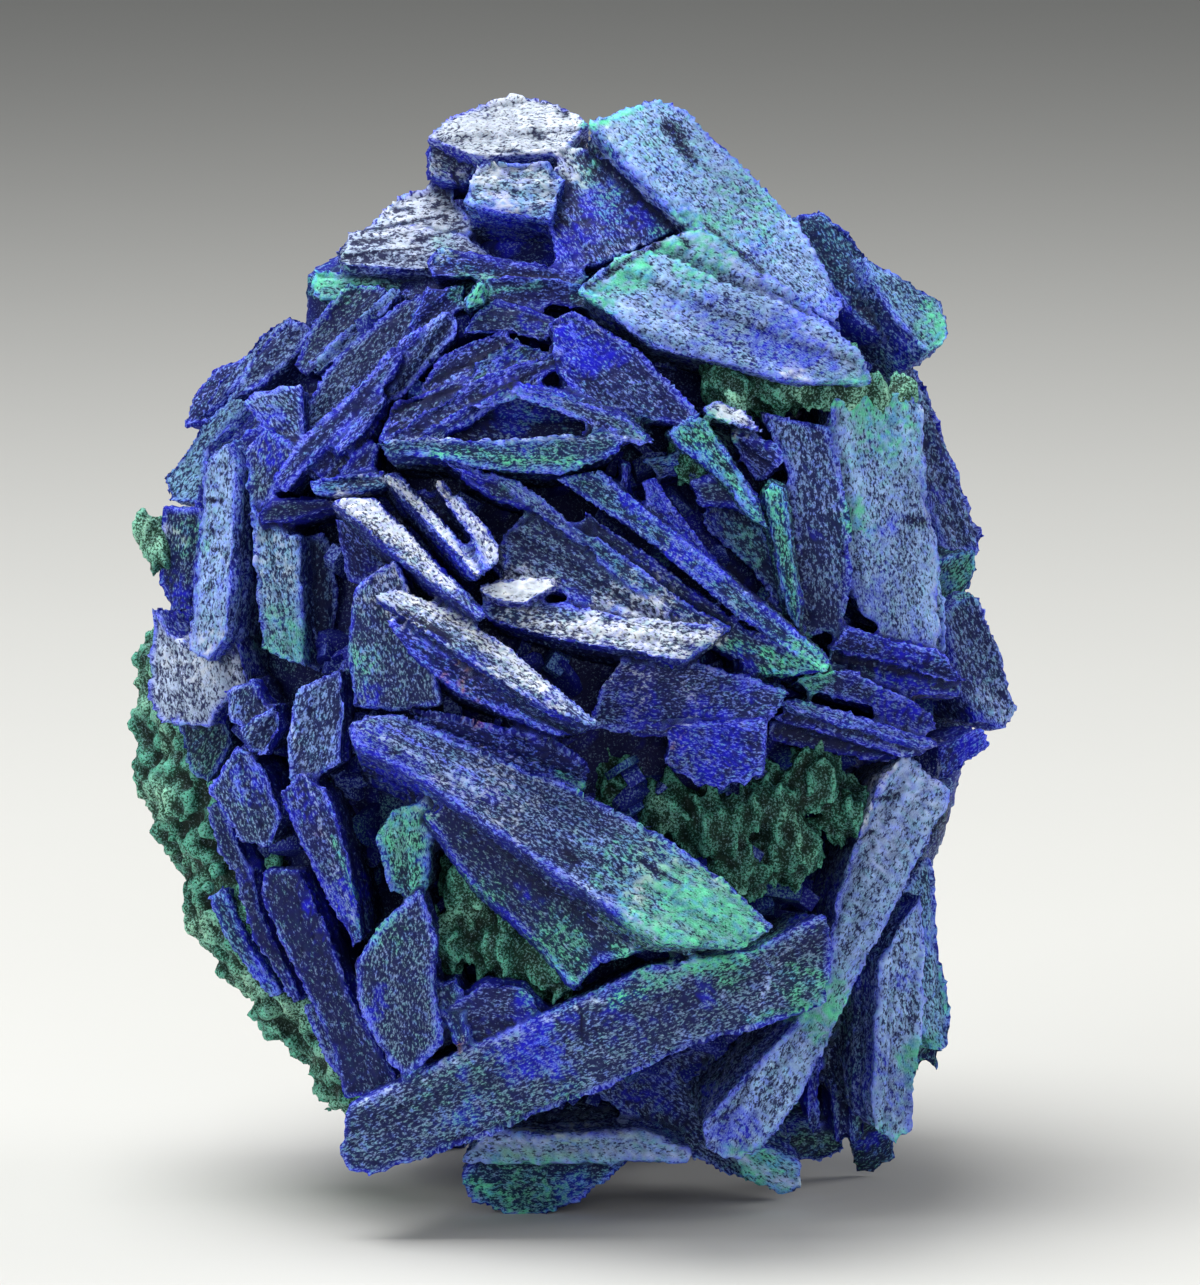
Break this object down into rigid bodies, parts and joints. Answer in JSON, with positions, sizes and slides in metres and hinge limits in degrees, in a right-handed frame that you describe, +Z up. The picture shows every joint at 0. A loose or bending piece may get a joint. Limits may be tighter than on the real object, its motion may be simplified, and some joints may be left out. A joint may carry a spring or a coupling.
{
  "type": "azurite specimen",
  "caption": "Loose mineral specimen: a rounded rosette of bladed azurite crystals grown together over malachite, resting on its lowest crystal tips.",
  "frame": {"origin": "middle of the bounding box's bottom, on the surface that the specimen rests on", "axes": "+Z up as it rests, -Y towards the viewer of the pictured side, +X to that viewer's right"},
  "size_m": [0.0393, 0.0392, 0.0485],
  "materials": {
    "azurite": "natural azurite, deep blue blades with a fine pale druse",
    "malachite": "natural malachite, green granular crust"
  },
  "bodies": {
    "root": {"azurite_cluster": "azurite"}
  },
  "joints": []
}
